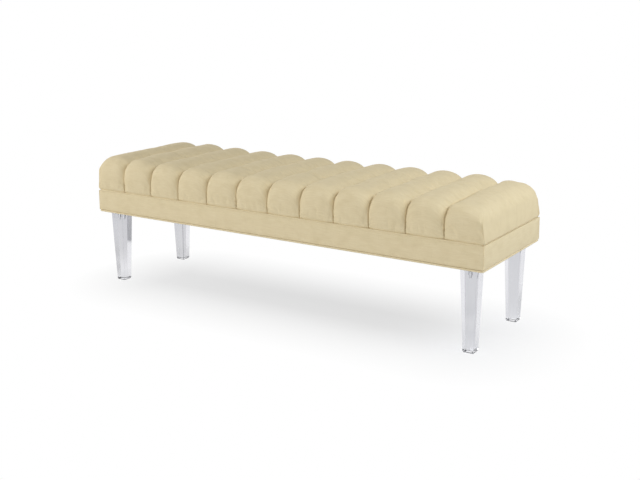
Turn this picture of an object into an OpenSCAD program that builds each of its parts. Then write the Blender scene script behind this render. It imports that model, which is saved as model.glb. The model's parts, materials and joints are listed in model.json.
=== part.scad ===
// Upholstered bench: a channelled seat on a banded box frame, carried on four clear tapered legs.
// The origin is on the floor under the middle of the seat: X along the length, Y to the back, Z up.

/* [Overall] */
// Length of the band from end to end
bench_l = 1524; // [1100:1:2000]
// Depth of the band from front to back
bench_d = 440; // [380:1:560]

/* [Legs] */
// Height of a leg without its foot pad
leg_h = 261.5; // [180:0.5:360]
// Width of a leg at its top
leg_top_w = 53; // [42:0.5:57]
// Width of a leg at its foot
leg_foot_w = 35.5; // [24:0.5:42]
// Bevel on a leg's upright edges, at the foot
leg_bevel = 2; // [0.5:0.5:5]
// Distance from the band's end to a leg's axis
leg_inset_x = 59; // [56:0.5:90]
// Distance from the band's front or back to a leg's axis
leg_inset_y = 54; // [54:0.5:90]
// Thickness of the pad under a foot
pad_t = 1.5; // [1:0.5:4]
// Margin between a pad's edge and the foot's edge
pad_margin = 1.5; // [0.5:0.5:5]

/* [Frame] */
// Thickness of the rails
rail_t = 20; // [16:1:24]
// Height of the rails
rail_h = 71; // [55:1:110]
// Thickness of the plywood deck
deck_t = 12; // [9:1:19]
// Distance between the cross rails under the deck
cross_step = 380; // [280:1:450]
// Height of the cross rails
cross_h = 45; // [38:1:50]
// Height of the corner blocks
block_h = 38; // [34:1:45]

/* [Seat] */
// Number of padded channels along the bench
channel_count = 12; // [8:1:14]
// Height of the foam core with its backing cloth
core_h = 74; // [50:1:85]
// Distance from the band's face to the core
core_inset = 30; // [24:1:40]
// Thickness of the backing cloth between the core and the channels
backing_t = 1; // [0.5:0.5:2]
// Height of a crest above the deck at its shoulders
crest_h = 120; // [114:1:160]
// Rise of a crest from its shoulders to the middle of the seat
crest_rise = 9; // [0:1:20]
// Drop from a crest to the valleys beside it
valley_drop = 28; // [10:1:34]
// Distance that a valley is drawn in behind a crest at the front and back
valley_inset = 12; // [4:1:18]
// Distance that a valley is drawn in at its lower edge
valley_edge_inset = 3; // [0:1:8]
// Distance that a crest stands proud of the band
bulge = 9; // [4:1:14]
// Distance that a channel's lower edge stands proud of the band
edge_bulge = 1; // [0:0.5:4]
// Depth of the round at a channel's shoulder
shoulder_d = 45; // [25:1:60]
// Height of the round at a channel's shoulder
shoulder_h = 40; // [25:1:60]
// Share of its height that an end channel keeps at its crest
end_share = 0.97; // [0.85:0.01:1]
// Height of the upright part of an end channel's outer face
end_wall = 19; // [8:1:40]
// Squareness of the round over a short end: 2 is an ellipse, more is boxier
end_power = 2.3; // [1.8:0.1:3]

/* [Cover] */
// Thickness of the padded band
band_t = 5; // [3:0.5:10]
// Diameter of the welt along the band's upper edge
top_welt_d = 8; // [5:0.5:10]
// Diameter of the welt along the band's lower edge
bottom_welt_d = 6; // [4:0.5:8]
// Radius of a welt's bend at the corners, along its middle
welt_bend = 8; // [6:0.5:16]
// Thickness of the dust cover
dust_t = 0.8; // [0.5:0.1:2]
// Margin between the dust cover and the rails' outer faces
dust_margin = 6; // [2:0.5:10]
// Gap between the dust cover and a leg
dust_gap = 2; // [1:0.5:6]

/* [Leg fasteners] */
// Diameter of the stud that joins a leg to its corner block
stud_d = 8; // [6:0.5:8]
// Length of stud inside a leg
stud_in_leg = 34; // [26:1:50]
// Length of stud above the tee nut
stud_past = 4; // [1:1:8]
// Diameter of the hole in a corner block round the stud
stud_hole_d = 9; // [8.5:0.5:10]
// Diameter of the threaded insert in a leg
insert_d = 13; // [12:0.5:16]
// Length of the threaded insert
insert_l = 25; // [16:1:25]
// Diameter of a tee nut's barrel
nut_barrel_d = 10.5; // [10.5:0.5:13]
// Length of a tee nut's barrel
nut_barrel_l = 12; // [8:1:14]
// Diameter of a tee nut's flange
nut_flange_d = 22; // [18:1:26]
// Thickness of a tee nut's flange
nut_flange_t = 1.6; // [1:0.2:3]

/* [Screws and staples] */
// Shank diameter of the wood screws
screw_d = 4.5; // [3:0.5:5]
// Head diameter of the wood screws
screw_head_d = 9; // [7:0.5:10]
// Height of a screw's countersunk head
screw_head_h = 3; // [2:0.5:4]
// Length of a screw's point
screw_tip = 8; // [4:1:10]
// Length of the screws that join the rails
rail_screw_l = 60; // [45:1:70]
// Length of the screws through the deck
deck_screw_l = 40; // [30:1:45]
// Length of the screws through the corner blocks
block_screw_l = 50; // [45:1:52]
// Length of a block screw inside its rail
block_screw_grip = 12; // [8:1:14]
// Distance from a leg's axis to the screws in its corner block
block_screw_offset = 16; // [14:1:18]
// Diameter of the counterbore over a block screw's head
counterbore_d = 11; // [11:0.5:12]
// Width of a staple's crown
staple_w = 11; // [6:0.5:13]
// Width and thickness of the staple wire
staple_wire = 1; // [0.6:0.1:1.6]
// Length of a staple's prongs inside the rails
staple_grip = 7; // [4:0.5:9]
// Distance between the staples along the front and back
staple_step = 150; // [60:1:200]

/* [Hidden] */
$fn = 48;
cut_past = 1;

half_l = bench_l / 2;
half_d = bench_d / 2;
frame_z = leg_h + pad_t;
deck_z = frame_z + rail_h;
seat_z = deck_z + deck_t;
pitch = bench_l / channel_count;

rail_out_x = half_l - band_t;
rail_out_y = half_d - band_t;
rail_in_x = rail_out_x - rail_t;
rail_in_y = rail_out_y - rail_t;
rail_mid_x = rail_out_x - rail_t / 2;
rail_mid_y = rail_out_y - rail_t / 2;

leg_x = half_l - leg_inset_x;
leg_y = half_d - leg_inset_y;
block_half_x = rail_in_x - leg_x;
block_half_y = rail_in_y - leg_y;

core_half_x = half_l - core_inset;
core_half_y = half_d - core_inset;

cross_x = [-cross_step, 0, cross_step];

// Heights of a pair of screws in a rail's end, as shares of the rail's height
screw_rows = [0.28, 0.72];
rail_screw_z = [for (row = screw_rows) frame_z + rail_h * row];
cross_screw_z = [for (row = screw_rows) deck_z - cross_h * row];

// Heights of the two screws in a corner block, as shares of the block's height
block_screw_rows = [0.3, 0.78];
block_screw_z = [for (row = block_screw_rows) frame_z + block_h * row];

// Places of the deck's screws along the long rails, in steps of the cross rails
deck_screw_places = [-1.5, -0.5, 0.5, 1.5];
deck_screw_x = deck_screw_places * cross_step;
// Places of the deck's screws across the seat, as shares of the frame's inner half depth
deck_screw_rows = [-0.5, 0.5];
deck_screw_y = deck_screw_rows * rail_in_y;

staple_count = floor((leg_x - leg_top_w) / staple_step);
staple_end_y = [-rail_in_y / 2, 0, rail_in_y / 2];

wall_steps = 2;
arc_steps = 5;
crown_steps = 4;
swell_power = 2;
plain_stations = [-1, -0.93, -0.7, -0.36, 0, 0.36, 0.7, 0.93, 1];
inner_stations = [-1, -0.93, -0.7, -0.36, 0];
outer_stations = [0.3, 0.55, 0.75, 0.88, 0.96, 1];

fabric = [0.84, 0.79, 0.65];
pine = [0.83, 0.68, 0.46];
ply = [0.78, 0.62, 0.42];
clear = [0.86, 0.88, 0.9, 0.5];
steel = [0.6, 0.61, 0.63];

channel_names = [for (k = [1:channel_count]) str("channel_", k < 10 ? "0" : "", k)];

// A box given by its lowest and highest corners
module span_box(low, high) {
    translate(low) cube(high - low);
}

// Places its children once in each quarter of the plan
module each_corner() {
    for (side_x = [-1, 1], side_y = [-1, 1]) {
        mirror([side_x < 0 ? 1 : 0, 0, 0]) mirror([0, side_y < 0 ? 1 : 0, 0]) children();
    }
}

// Places its children in one quarter of the plan
module at_corner(side_x, side_y) {
    mirror([side_x < 0 ? 1 : 0, 0, 0]) mirror([0, side_y < 0 ? 1 : 0, 0]) children();
}

// A countersunk wood screw with its head's face at the origin and its point down
module wood_screw(length) {
    rotate_extrude() polygon([
        [0, 0],
        [screw_head_d / 2, 0],
        [screw_d / 2, -screw_head_h],
        [screw_d / 2, screw_tip - length],
        [0, -length]
    ]);
}

// Screws through the long rails into the ends of the side rails
module rail_screws() {
    color(steel) each_corner() for (z = rail_screw_z) {
        translate([rail_mid_x, rail_out_y, z]) rotate([-90, 0, 0]) wood_screw(rail_screw_l);
    }
}

// Screws through the long rails into the ends of the cross rails
module cross_rail_screws() {
    color(steel) for (x = cross_x, z = cross_screw_z, side = [0, 1]) {
        mirror([0, side, 0]) translate([x, rail_out_y, z]) rotate([-90, 0, 0]) wood_screw(rail_screw_l);
    }
}

// Screws through each corner block, one into the side rail and one into the long rail
module block_screws() {
    start_x = rail_in_x + block_screw_grip - block_screw_l;
    start_y = rail_in_y + block_screw_grip - block_screw_l;
    color(steel) each_corner() {
        translate([start_x, leg_y - block_screw_offset, block_screw_z[0]])
            rotate([0, -90, 0]) wood_screw(block_screw_l);
        translate([leg_x - block_screw_offset, start_y, block_screw_z[1]])
            rotate([90, 0, 0]) wood_screw(block_screw_l);
    }
}

// The holes that let the heads of the block screws lie inside the corner blocks
module block_counterbores() {
    bore_x = 2 * block_half_x + block_screw_grip - block_screw_l;
    bore_y = 2 * block_half_y + block_screw_grip - block_screw_l;
    translate([leg_x - block_half_x - cut_past, leg_y - block_screw_offset, block_screw_z[0]])
        rotate([0, 90, 0]) cylinder(d = counterbore_d, h = bore_x + cut_past);
    translate([leg_x - block_screw_offset, leg_y - block_half_y - cut_past, block_screw_z[1]])
        rotate([-90, 0, 0]) cylinder(d = counterbore_d, h = bore_y + cut_past);
}

// Screws down through the deck into the long rails, the side rails and the cross rails
module deck_screws() {
    color(steel) {
        for (x = deck_screw_x, y = [-rail_mid_y, rail_mid_y]) {
            translate([x, y, seat_z]) wood_screw(deck_screw_l);
        }
        for (x = concat([-rail_mid_x, rail_mid_x], cross_x), y = deck_screw_y) {
            translate([x, y, seat_z]) wood_screw(deck_screw_l);
        }
    }
}

// A staple with its crown under the dust cover and its prongs up in the rail
module staple() {
    half_w = staple_w / 2;
    half_t = staple_wire / 2;
    crown_z = frame_z - dust_t - staple_wire;
    span_box([-half_w, -half_t, crown_z], [half_w, half_t, frame_z - dust_t]);
    for (side = [0, 1]) mirror([side, 0, 0]) {
        span_box([half_w - staple_wire, -half_t, crown_z], [half_w, half_t, frame_z + staple_grip]);
    }
}

// The row of staples round the dust cover
module cover_staples() {
    color(steel) {
        for (k = [-staple_count:staple_count], y = [-rail_mid_y, rail_mid_y]) {
            translate([k * staple_step, y, 0]) staple();
        }
        for (x = [-rail_mid_x, rail_mid_x], y = staple_end_y) {
            translate([x, y, 0]) rotate([0, 0, 90]) staple();
        }
    }
}

// A rail along the front or back, full length, with its screw and staple holes
module long_rail(side) {
    color(pine) difference() {
        mirror([0, side < 0 ? 1 : 0, 0])
            span_box([-rail_out_x, rail_in_y, frame_z], [rail_out_x, rail_out_y, deck_z]);
        rail_screws();
        cross_rail_screws();
        block_screws();
        deck_screws();
        cover_staples();
    }
}

// A rail across one end, between the long rails
module side_rail(side) {
    color(pine) difference() {
        mirror([side < 0 ? 1 : 0, 0, 0])
            span_box([rail_in_x, -rail_in_y, frame_z], [rail_out_x, rail_in_y, deck_z]);
        rail_screws();
        block_screws();
        deck_screws();
        cover_staples();
    }
}

module front_rail() { long_rail(-1); }
module rear_rail() { long_rail(1); }
module left_rail() { side_rail(-1); }
module right_rail() { side_rail(1); }

// A rail across the frame under the deck
module cross_rail(index) {
    x = cross_x[index];
    color(pine) difference() {
        span_box([x - rail_t / 2, -rail_in_y, deck_z - cross_h], [x + rail_t / 2, rail_in_y, deck_z]);
        cross_rail_screws();
        deck_screws();
    }
}

module left_cross_rail() { cross_rail(0); }
module middle_cross_rail() { cross_rail(1); }
module right_cross_rail() { cross_rail(2); }

// A block in a corner of the frame that carries a leg, with the bore for its stud and tee nut
module corner_block(side_x, side_y) {
    top_z = frame_z + block_h;
    color(pine) difference() {
        at_corner(side_x, side_y) difference() {
            span_box([leg_x - block_half_x, leg_y - block_half_y, frame_z], [rail_in_x, rail_in_y, top_z]);
            translate([leg_x, leg_y, frame_z - cut_past])
                cylinder(d = stud_hole_d, h = block_h + 2 * cut_past);
            translate([leg_x, leg_y, top_z - nut_barrel_l])
                cylinder(d = nut_barrel_d, h = nut_barrel_l + cut_past);
            block_counterbores();
        }
        block_screws();
    }
}

module front_left_block() { corner_block(-1, -1); }
module front_right_block() { corner_block(1, -1); }
module rear_left_block() { corner_block(-1, 1); }
module rear_right_block() { corner_block(1, 1); }

// The plywood board on the rails
module seat_deck() {
    color(ply) difference() {
        span_box([-rail_out_x, -rail_out_y, deck_z], [rail_out_x, rail_out_y, seat_z]);
        deck_screws();
    }
}

// The space that the foam core and its backing cloth fill, shrunk by an allowance
module core_space(shrink, below) {
    span_box(
        [shrink - core_half_x, shrink - core_half_y, seat_z - below],
        [core_half_x - shrink, core_half_y - shrink, seat_z + core_h - shrink]
    );
}

// The slab of firm foam on the deck
module foam_core() {
    color([0.93, 0.9, 0.78]) core_space(backing_t, 0);
}

// The cloth over the foam that the channels are sewn to
module backing_cloth() {
    color([0.95, 0.94, 0.9]) difference() {
        core_space(0, 0);
        core_space(backing_t, cut_past);
    }
}

// Half of a channel's outline from its front lower edge to the middle, as [y, height] points
function half_outline(edge, face, top, rise, round_d, round_h) = concat(
    [for (k = [0:wall_steps]) let (t = k / wall_steps)
        [-edge - (face - edge) * sin(90 * t), (top - round_h) * t]],
    [for (k = [1:arc_steps]) let (angle = 90 * k / arc_steps)
        [round_d - face - round_d * cos(angle), top - round_h + round_h * sin(angle)]],
    [for (k = [1:crown_steps]) let (t = 1 - k / crown_steps)
        [(round_d - face) * t, top + rise * (1 - t * t)]]
);

// The half outline joined to its mirror image
function whole_outline(half) = concat(half, [for (k = [len(half) - 2:-1:0]) [-half[k][0], half[k][1]]]);

crest = whole_outline(half_outline(
    half_d + edge_bulge, half_d + bulge, crest_h, crest_rise, shoulder_d, shoulder_h));
valley = whole_outline(half_outline(
    half_d + edge_bulge - valley_edge_inset, half_d + bulge - valley_inset,
    crest_h - valley_drop, crest_rise, shoulder_d, shoulder_h));

// Share of the way from valley to crest at a place across a channel, from -1 to 1
function swell(place) = pow(1 - pow(abs(place), swell_power), 1 / swell_power);

// One ring of a channel: its outline at x, swollen by a share and lowered by another
function ring(x, share, height_share) = [for (k = [0:len(crest) - 1])
    let (point = valley[k] + (crest[k] - valley[k]) * share)
    [x, point[0], seat_z + point[1] * height_share]];

// Share of its height that an end channel keeps at a place across it
function end_height(place) = place <= 0
    ? 1 - (1 - end_share) * (1 + place)
    : max(end_wall / crest_h, end_share * pow(1 - pow(place, end_power), 1 / end_power));

// The skin of a channel from its rings, closed at both ends and along the bottom
module loaf(rings) {
    n = len(rings[0]);
    last = (len(rings) - 1) * n;
    half = (n - 1) / 2;
    sides = [for (i = [0:len(rings) - 2], k = [0:n - 1])
        let (a = i * n + k, b = i * n + (k + 1) % n)
        each [[a, b, b + n], [a, b + n, a + n]]];
    cap = [for (k = [0:half - 1])
        each k < half - 1
            ? [[k, k + 1, n - 2 - k], [k, n - 2 - k, n - 1 - k]]
            : [[k, k + 1, n - 1 - k]]];
    high_cap = [for (face = cap) [last + face[0], last + face[1], last + face[2]]];
    low_cap = [for (face = cap) [face[2], face[1], face[0]]];
    polyhedron(points = [for (r = rings) each r], faces = concat(sides, high_cap, low_cap));
}

// A padded channel between two seams, open underneath where it wraps the core
module plain_channel(index) {
    middle = (index + 0.5) * pitch - half_l;
    difference() {
        loaf([for (place = plain_stations) ring(middle + place * pitch / 2, swell(place), 1)]);
        core_space(0, cut_past);
    }
}

// The channel at the right end, which also rounds down over the short end of the seat
module end_channel() {
    middle = half_l - pitch / 2;
    difference() {
        loaf(concat(
            [for (place = inner_stations) ring(middle + place * pitch / 2, swell(place), end_height(place))],
            [for (place = outer_stations) ring(middle + place * pitch / 2, 1, end_height(place))]
        ));
        core_space(0, cut_past);
    }
}

// One channel of the seat, counted from the left
module channel(index) {
    color(fabric) {
        if (index == 0) mirror([1, 0, 0]) end_channel();
        else if (index == channel_count - 1) end_channel();
        else plain_channel(index);
    }
}

// A flat padded panel of the band between the two welts
module long_band(side) {
    color(fabric) mirror([0, side < 0 ? 1 : 0, 0]) span_box(
        [-half_l, rail_out_y, frame_z + bottom_welt_d],
        [half_l, half_d, seat_z - top_welt_d]
    );
}

module end_band(side) {
    color(fabric) mirror([side < 0 ? 1 : 0, 0, 0]) span_box(
        [rail_out_x, -rail_out_y, frame_z + bottom_welt_d],
        [half_l, rail_out_y, seat_z - top_welt_d]
    );
}

module front_band() { long_band(-1); }
module rear_band() { long_band(1); }
module left_band() { end_band(-1); }
module right_band() { end_band(1); }

// A covered cord that runs round the frame against the rails' outer faces
module welt(diameter, z) {
    middle_x = rail_out_x + diameter / 2;
    middle_y = rail_out_y + diameter / 2;
    color(fabric) translate([0, 0, z]) {
        for (side = [0, 1]) {
            mirror([0, side, 0]) translate([welt_bend - middle_x, middle_y, 0]) rotate([0, 90, 0])
                cylinder(d = diameter, h = 2 * (middle_x - welt_bend));
            mirror([side, 0, 0]) translate([middle_x, welt_bend - middle_y, 0]) rotate([-90, 0, 0])
                cylinder(d = diameter, h = 2 * (middle_y - welt_bend));
        }
        each_corner() translate([middle_x - welt_bend, middle_y - welt_bend, 0])
            rotate_extrude(angle = 90) translate([welt_bend, 0]) circle(d = diameter);
    }
}

module top_welt() { welt(top_welt_d, seat_z - top_welt_d / 2); }
module bottom_welt() { welt(bottom_welt_d, frame_z + bottom_welt_d / 2); }

// The black cloth under the frame, cut out round the legs
module dust_cover() {
    hole = leg_top_w / 2 + dust_gap;
    color([0.12, 0.12, 0.13]) difference() {
        span_box(
            [dust_margin - rail_out_x, dust_margin - rail_out_y, frame_z - dust_t],
            [rail_out_x - dust_margin, rail_out_y - dust_margin, frame_z]
        );
        each_corner() span_box(
            [leg_x - hole, leg_y - hole, frame_z - dust_t - cut_past],
            [leg_x + hole, leg_y + hole, frame_z + cut_past]
        );
        cover_staples();
    }
}

// A square leg that tapers on all four sides, with bevelled edges and the bore for its insert
module leg(side_x, side_y) {
    half = leg_foot_w / 2;
    near = half - leg_bevel;
    color(clear) at_corner(side_x, side_y) translate([leg_x, leg_y, pad_t]) difference() {
        linear_extrude(height = leg_h, scale = leg_top_w / leg_foot_w) polygon([
            [near, half], [-near, half], [-half, near], [-half, -near],
            [-near, -half], [near, -half], [half, -near], [half, near]
        ]);
        translate([0, 0, leg_h - insert_l]) cylinder(d = insert_d, h = insert_l + cut_past);
        translate([0, 0, leg_h - stud_in_leg]) cylinder(d = stud_d, h = stud_in_leg + cut_past);
    }
}

module front_left_leg() { leg(-1, -1); }
module front_right_leg() { leg(1, -1); }
module rear_left_leg() { leg(-1, 1); }
module rear_right_leg() { leg(1, 1); }

// The thin pads under the four feet
module foot_pads() {
    half = leg_foot_w / 2 - pad_margin;
    color([0.45, 0.45, 0.46]) each_corner()
        span_box([leg_x - half, leg_y - half, 0], [leg_x + half, leg_y + half, pad_t]);
}

// The threaded inserts set in the tops of the legs
module leg_inserts() {
    color(steel) each_corner() translate([leg_x, leg_y, frame_z - insert_l]) difference() {
        cylinder(d = insert_d, h = insert_l);
        translate([0, 0, -cut_past]) cylinder(d = stud_d, h = insert_l + 2 * cut_past);
    }
}

// The studs from the legs up through the corner blocks
module leg_studs() {
    length = stud_in_leg + block_h + nut_flange_t + stud_past;
    color(steel) each_corner() translate([leg_x, leg_y, frame_z - stud_in_leg])
        cylinder(d = stud_d, h = length);
}

// The tee nuts on top of the corner blocks
module tee_nuts() {
    color(steel) each_corner() translate([leg_x, leg_y, frame_z + block_h]) difference() {
        union() {
            cylinder(d = nut_flange_d, h = nut_flange_t);
            translate([0, 0, -nut_barrel_l]) cylinder(d = nut_barrel_d, h = nut_barrel_l);
        }
        translate([0, 0, -nut_barrel_l - cut_past])
            cylinder(d = stud_d, h = nut_barrel_l + nut_flange_t + 2 * cut_past);
    }
}

front_rail();
rear_rail();
left_rail();
right_rail();
left_cross_rail();
middle_cross_rail();
right_cross_rail();
front_left_block();
front_right_block();
rear_left_block();
rear_right_block();
seat_deck();
foam_core();
backing_cloth();
for (k = [0:channel_count - 1]) channel(k);
front_band();
rear_band();
left_band();
right_band();
top_welt();
bottom_welt();
dust_cover();
front_left_leg();
front_right_leg();
rear_left_leg();
rear_right_leg();
foot_pads();
leg_inserts();
leg_studs();
tee_nuts();
rail_screws();
cross_rail_screws();
block_screws();
deck_screws();
cover_staples();
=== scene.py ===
"""Upholstered bench: a channelled seat on clear tapered legs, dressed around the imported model."""

import json
import math

import bmesh
import bpy
import numpy as np
from mathutils import Matrix, Vector


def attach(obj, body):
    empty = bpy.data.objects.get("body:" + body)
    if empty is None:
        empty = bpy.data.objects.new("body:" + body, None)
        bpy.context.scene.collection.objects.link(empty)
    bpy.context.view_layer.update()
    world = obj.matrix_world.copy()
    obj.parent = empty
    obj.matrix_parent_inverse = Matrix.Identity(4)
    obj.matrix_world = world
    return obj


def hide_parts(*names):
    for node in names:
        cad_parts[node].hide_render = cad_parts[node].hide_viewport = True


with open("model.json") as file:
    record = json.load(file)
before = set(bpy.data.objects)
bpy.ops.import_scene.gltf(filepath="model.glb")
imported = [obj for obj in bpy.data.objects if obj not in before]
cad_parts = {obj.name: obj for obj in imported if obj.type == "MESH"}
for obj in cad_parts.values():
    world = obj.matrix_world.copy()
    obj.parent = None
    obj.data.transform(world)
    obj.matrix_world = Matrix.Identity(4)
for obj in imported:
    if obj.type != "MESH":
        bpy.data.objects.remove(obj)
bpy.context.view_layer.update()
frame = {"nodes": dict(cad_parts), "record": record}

# The camera, solved from the photograph's corners and feet
IMAGE_W = 640
IMAGE_H = 480
FOCAL_PX = 975.544
CENTRE_Y_PX = 163.654
CAMERA_AZIMUTH = math.radians(33.078)
CAMERA_ELEVATION = math.radians(10.0)
CAMERA_ROLL = math.radians(-0.246)
CAMERA_DISTANCE = 3.2959
CAMERA_TARGET = (0.06497, 0.0, 0.48227)
SENSOR_MM = 36.0

# The seat, in metres
CHANNELS = 12
HALF_L = 0.762
PITCH = 2 * HALF_L / CHANNELS
HALF_PITCH = PITCH / 2
SEAM_GAP = 0.00015
SEAT_Z = 0.3462
CREST_H = 0.1185
CREST_TILT = -0.0057
CREST_RISE = 0.0040
# How much the top falls towards the front, per metre, from this place near the back
DEPTH_TILT = 0.005
DEPTH_TILT_FROM = 0.19
VALLEY_DROP = 0.026
CREST_FACE = 0.2285
CREST_EDGE = 0.2210
VALLEY_FACE = 0.2165
VALLEY_EDGE = 0.2175
# The rounds of the seat's edges: how far they reach in and down
SHOULDER = (0.045, 0.040)
REAR_SHOULDER = (0.031, 0.036)
VALLEY_SHOULDER = (0.040, 0.058)
REAR_VALLEY_SHOULDER = (0.028, 0.050)
# How much each channel stands above the plain height, from the left
CHANNEL_RISE = (
    0.0042, -0.0015, -0.0035, -0.0055, -0.005, -0.005,
    -0.005, -0.0025, -0.0018, -0.0015, -0.0013, -0.0022,
)
# How far each seam drifts sideways between the front and the back, from the left, with the two ends
SEAM_DRIFT = (
    0, 0.0028, 0.0100, 0.0116, 0.0131, 0.0084, 0.0063,
    0.0048, 0.0037, -0.0032, -0.0046, -0.0093, 0,
)
TUCK_H = 0.007
TUCK_D = 0.0040
END_TUCK_D = 0.0040
SKIRT_DROP = 0.0034
# The groove at a seam, at the first and at the last one
SLIT_DEPTH = (0.0092, 0.0062)
SLIT_FROM = (0.950, 0.967)
SLIT_ON_TOP = 0.12
SLIT_AT_SHOULDER = 0.6
SLIT_FADES = (0.35, 0.22)
SLIT_POWER = 1.6
TOP_ROUND = (2.1, 0.72)
FACE_ROUND = (3.4, 0.93)
# Towards the back a channel leans to the left and its left flank is fuller
REAR_LEAN = 0.12
REAR_FULLER = 0.14
LEFT_END = {"share": 0.955, "power": 3.3}
RIGHT_END = {"share": 0.925, "power": 2.6}
END_FOOT = 0.0015
END_CREST_FACE = 0.2245
END_FACE = 0.2195
END_LEAN = 0.004
CORNER_ROUND = (0.12, 0.32)
# A fold down each corner: its depth, its width along the round and how high it reaches
FOLD_DEPTH = 0.0032
FOLD_WIDTH = 0.28
FOLD_UP_TO = (0.55, 0.75)
CORE_HALF_X = 0.7322
CORE_HALF_Y = 0.1902
CORE_H = 0.0741
FOOT_H = 0.001

# Where the cloth hangs over the deck's edge, and how far apart the weave of two channels lies
SKIRT_FROM_X = 0.7575
SKIRT_FROM_Y = 0.2055
SKIRT_BLEND = 0.003
WEAVE_APART = 0.173
PANELS_APART = 0.61

# The hand-made unevenness of the padding, and the puckers beside its seams
UNEVEN_SEED = 12
UNEVEN_H = 0.0011
PUCKER_H = 0.00055
PUCKER_REACH = 0.34
PUCKER_AT_END = 0.15

# Rows of the seat's cloth from front to back, and its columns across a channel
WALL_ROWS = 15
ARC_ROWS = 12
CROWN_ROWS = 30
COLUMNS = 24
# How much calmer the weave looks on top than in front
TOP_CALM = 0.5
TOP_ENDS_Y = (0.180, 0.222)

# The push of the seat's filling: frames, how far a point may move, what is held, and the cloth
CLOTH_FRAMES = 20
CLOTH_REACH = 0.005
HELD_ROWS = 2
HELD_SHARE = (0.80, 0.97)
CLOTH_SETTINGS = {
    "quality": 5,
    "mass": 0.3,
    "tension_stiffness": 15,
    "compression_stiffness": 15,
    "shear_stiffness": 8,
    "bending_stiffness": 0.6,
    "vertex_group_mass": "held",
    "use_pressure": True,
    "uniform_pressure_force": 4.0,
    "shrink_min": -0.01,
}

# The band and its welts
BAND_LOW = 0.2687
BAND_HIGH = 0.3402
BAND_OUT_X = 0.762
BAND_OUT_Y = 0.220
BAND_T = 0.0048
TOP_WELT_R = 0.0030
BOTTOM_WELT_R = 0.0031
WELT_BEND = 0.008
WELT_STEP = 0.006
WELT_SIDES = 14
TOP_WELT_AT = (0.7545, 0.2179, 0.3416)
BOTTOM_WELT_AT = (0.7593, 0.2187, 0.2650)
# A band panel: its edge and its middle against the band's face, its unevenness and its mitred ends
PANEL_EDGE = -0.0012
PANEL_FULL = 0.0020
PANEL_UNEVEN = 0.00016
PANEL_MITRE = 0.0046
PANEL_STEP = 0.008
PANEL_ROWS = 14

# The fabric, its darker and its lighter threads, and how its weave is turned on the welts
FABRIC = (0.708, 0.595, 0.375)
FABRIC_DARK = (0.606, 0.496, 0.290)
FABRIC_LIGHT = (0.765, 0.661, 0.443)
WELT_TURN = math.radians(42)

# The legs
LEG_X = 0.703
LEG_Y = 0.166
LEG_LOW = 0.0014
LEG_HOLLOW = 0.00155
LEG_RIM = 0.008
LEG_HIGH = 0.2629
LEG_TOP_W = 0.053
LEG_FOOT_W = 0.0355
LEG_EDGE = 0.0008
LEG_BEVEL = 0.0007
INSERT_BORE_R = 0.00648
INSERT_BORE_DEPTH = 0.0247
STUD_BORE_R = 0.00398
STUD_BORE_DEPTH = 0.0337
BORE_SIDES = 40
# The legs' grey absorption: partly the acrylic's own faint tint, partly painted shade standing in for
# the dim surroundings seen through the legs
ACRYLIC_DEPTH = {"Color": (0.86, 0.86, 0.885, 1), "Density": 30.0}

# The black cloth underneath, with the cut-outs round the legs
COVER_HALF_X = 0.751
COVER_HALF_Y = 0.209
COVER_Z = 0.26225
COVER_T = 0.0005
COVER_STEP = (0.012, 0.010)
COVER_SAG = 0.0020
COVER_SPAN = (0.735, 0.194)
COVER_HEM = 0.02
COVER_RIPPLE = 0.00012
COVER_SLACK = 0.0002
CUT_INNER_X = 0.6745
CUT_INNER_Y = 0.1375
CUT_OUTER_X = 0.7315
CUT_OUTER_Y = 0.1945

# The floor: how bright the camera and the glass see it in the shadow, behind and in the far corner.
# Behind the bench and in its far left front corner the glass sees painted shade, which greys the legs
FLOOR_GLOW = 0.66
FLOOR_GLOW_IN_GLASS = 0.45
FLOOR_GLOW_BEHIND = 0.44
FLOOR_GLOW_CORNER = 0.06
FLOOR_HALF = 9.0
SHADOW_RIGHT = 0.05
SHADOW_FORWARD = 0.05
SHADOW_HALF_X = 0.60
SHADOW_HALF_Y = 0.06
SHADOW_FADE = 0.35
WORLD_LIGHT = 0.417
# Where the glass sees painted shade on the floor: a dark patch in the far left front corner, and dimmer
# floor behind the bench short of its right end
GLASS_CORNER_X = (-0.95, -0.85)
GLASS_CORNER_Y = (-0.80, -0.72)
GLASS_BEHIND_X = (0.60, 1.00)
GLASS_BEHIND_Y = (-0.10, 0.25)
FLOOR_Z = -0.0002

# The lamps: name, place, what each points at, size, power and colour; cooler at the right
PLAIN_LIGHT = (1, 1, 1)
COOL_LIGHT = (0.945, 0.995, 1.06)
LAMPS = (
    ("soft_front", (-0.4, -4.0, 0.8), (0, 0, 0.3), (3.0, 1.4), 48.6, PLAIN_LIGHT),
    ("soft_right", (2.6, 0.2, 2.2), (0.3, 0, 0.36), (1.6, 1.4), 31.4, COOL_LIGHT),
    ("soft_right_near", (1.8, 0.1, 1.5), (0.4, 0, 0.4), (1.0, 1.0), 6.6, COOL_LIGHT),
    ("soft_left", (-3.2, -1.2, 1.6), (0, 0, 0.36), (1.8, 1.4), 39.8, PLAIN_LIGHT),
)


def link(obj):
    bpy.context.scene.collection.objects.link(obj)
    return obj


def new_mesh(name, verts, faces, smooth=True):
    """An object from lists of points and faces, in the row frame."""
    mesh = bpy.data.meshes.new(name)
    mesh.from_pydata([tuple(v) for v in verts], [], [tuple(f) for f in faces])
    mesh.validate()
    mesh.polygons.foreach_set("use_smooth", [smooth] * len(mesh.polygons))
    mesh.update()
    return link(bpy.data.objects.new(name, mesh))


def from_bmesh(name, shape):
    bmesh.ops.recalc_face_normals(shape, faces=shape.faces)
    mesh = bpy.data.meshes.new(name)
    shape.to_mesh(mesh)
    shape.free()
    return link(bpy.data.objects.new(name, mesh))


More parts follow.
